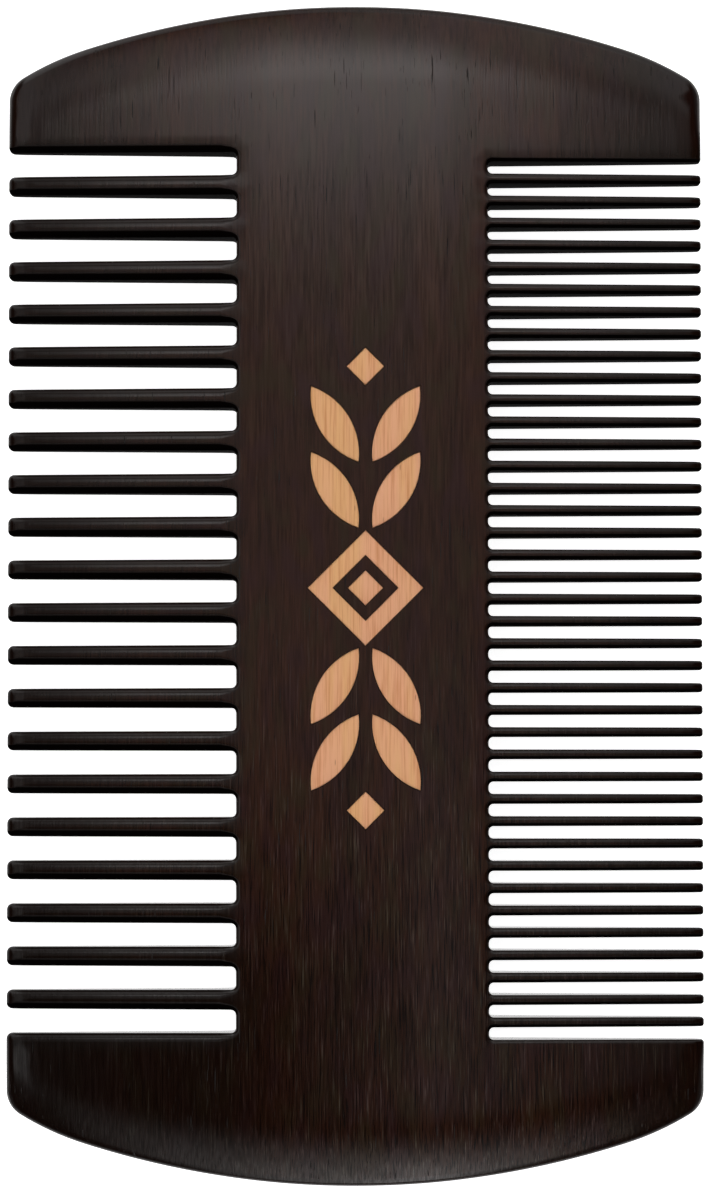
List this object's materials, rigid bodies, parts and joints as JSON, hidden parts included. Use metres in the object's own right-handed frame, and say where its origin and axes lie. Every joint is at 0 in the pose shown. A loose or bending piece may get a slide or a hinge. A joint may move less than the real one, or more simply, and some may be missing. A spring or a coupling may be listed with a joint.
{
  "type": "double-sided wooden beard comb",
  "caption": "Flat dark-wood beard comb with bowed ends, coarse teeth on one side, fine teeth on the other, and a pale geometric inlay on its spine.",
  "frame": {"origin": "middle of the comb's outline, on the surface that its flat back lies on", "axes": "+X across the comb to the fine teeth, +Y along the comb, +Z out of the front face"},
  "size_m": [0.059, 0.1, 0.004],
  "materials": {
    "front_ply_wood": "satin oiled dark hardwood",
    "core_ply_wood": "satin oiled dark hardwood",
    "back_ply_wood": "satin oiled dark hardwood",
    "inlay_wood": "matt pale hardwood"
  },
  "bodies": {
    "root": {"front_face_ply": "front_ply_wood", "core_ply": "core_ply_wood", "back_face_ply": "back_ply_wood", "lozenge_frame_inlay": "inlay_wood", "lozenge_heart_inlay": "inlay_wood", "upper_lozenge_inlay": "inlay_wood", "upper_inner_left_leaf_inlay": "inlay_wood", "upper_inner_right_leaf_inlay": "inlay_wood", "upper_outer_left_leaf_inlay": "inlay_wood", "upper_outer_right_leaf_inlay": "inlay_wood", "lower_lozenge_inlay": "inlay_wood", "lower_inner_left_leaf_inlay": "inlay_wood", "lower_inner_right_leaf_inlay": "inlay_wood", "lower_outer_left_leaf_inlay": "inlay_wood", "lower_outer_right_leaf_inlay": "inlay_wood"}
  },
  "joints": []
}
